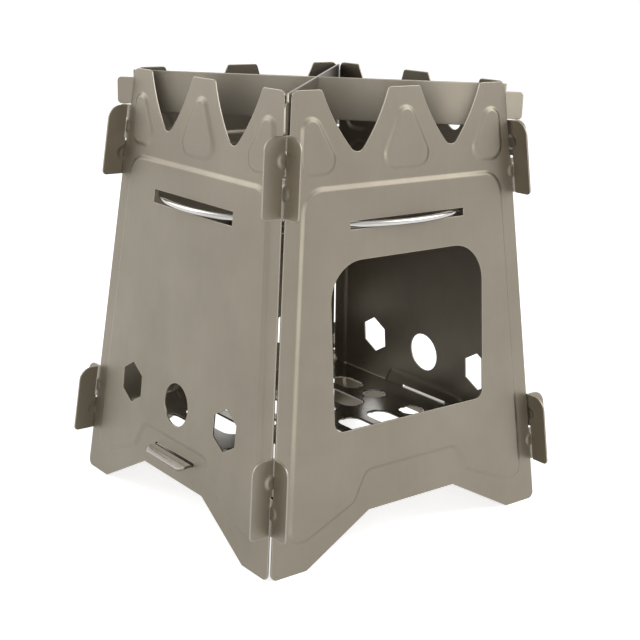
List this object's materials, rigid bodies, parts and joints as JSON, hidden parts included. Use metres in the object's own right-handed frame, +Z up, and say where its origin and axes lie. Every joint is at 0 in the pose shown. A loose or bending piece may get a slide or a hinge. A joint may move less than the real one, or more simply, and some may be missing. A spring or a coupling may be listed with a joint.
{
  "type": "camp stove",
  "caption": "Flat-pack wood-burning camp stove: leaning sheet walls hooked together at the corners, base plate, round tray and crossed pot supports.",
  "frame": {"origin": "on the ground, under the middle of the stove", "axes": "+Z up; the wall with the window faces -Y; +X is to the right when looking at the window"},
  "size_m": [0.1368, 0.1368, 0.1551],
  "materials": {
    "titanium_sheet": "satin, bead-blasted",
    "titanium_plate": "smooth",
    "polished_tray": "polished"
  },
  "bodies": {
    "stove": {"window_wall": "titanium_sheet", "left_wall": "titanium_sheet", "right_wall": "titanium_sheet", "back_wall": "titanium_sheet", "base_plate": "titanium_plate"},
    "tray": {"round_tray": "polished_tray"},
    "pot_supports": {"lower_pot_support": "titanium_sheet", "upper_pot_support": "titanium_sheet"}
  },
  "joints": [
    {"name": "tray_turn", "type": "hinge", "parent": "stove", "child": "tray", "pos_m": [0, 0, 0.1117], "axis": [0, 0, 1], "continuous": true},
    {"name": "supports_lift", "type": "slide", "parent": "stove", "child": "pot_supports", "axis": [0, 0, 1], "range_m": [0, 0.03]}
  ]
}
